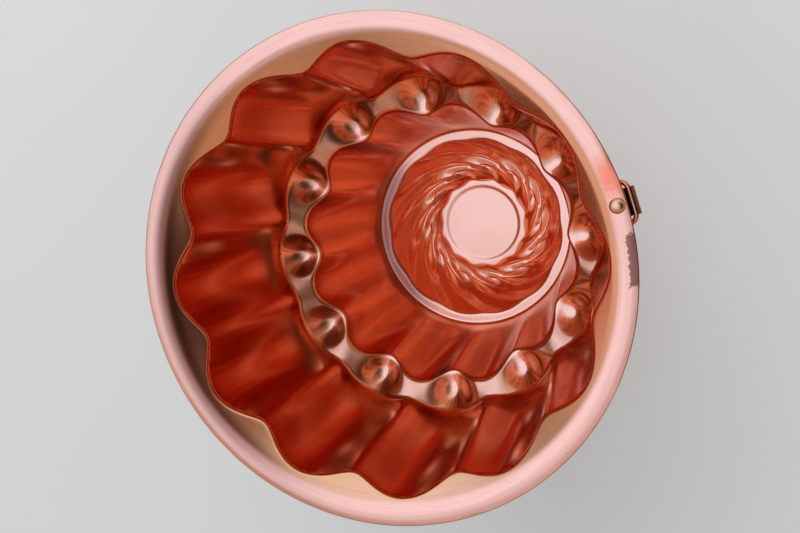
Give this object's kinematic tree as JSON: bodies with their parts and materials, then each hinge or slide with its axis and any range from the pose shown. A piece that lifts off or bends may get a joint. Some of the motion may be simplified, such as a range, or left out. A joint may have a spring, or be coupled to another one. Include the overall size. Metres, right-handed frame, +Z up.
{
  "type": "tiered jelly and cake mould",
  "caption": "Tall tiered round mould in copper-toned sheet with fluted walls, a ledge of pressed hollows, a swirled crown and a riveted hanging ring.",
  "frame": {"origin": "centre of the crown's flat outer face, on the mould's axis; the crown's ring of strands reaches 6.4 mm below it", "axes": "+Z up along the mould's axis towards its open mouth, +X towards the hanging ring"},
  "size_m": [0.2032, 0.1996, 0.1839],
  "materials": {
    "copper_tone_sheet": "bright drawn copper-toned sheet with fine draw lines",
    "clip_metal": "dull copper-toned strip",
    "rivet_metal": "polished domed head",
    "ring_wire": "drawn copper-toned wire"
  },
  "bodies": {
    "mould": {"mould_shell": "copper_tone_sheet", "hanger_strap": "clip_metal", "hanger_rivet": "rivet_metal"},
    "ring": {"hanging_ring": "ring_wire"}
  },
  "joints": [
    {"name": "ring_swing", "type": "hinge", "parent": "mould", "child": "ring", "pos_m": [0.1014, 0, 0.1714], "axis": [0, -1, 0], "range_deg": [-5, 250]}
  ]
}
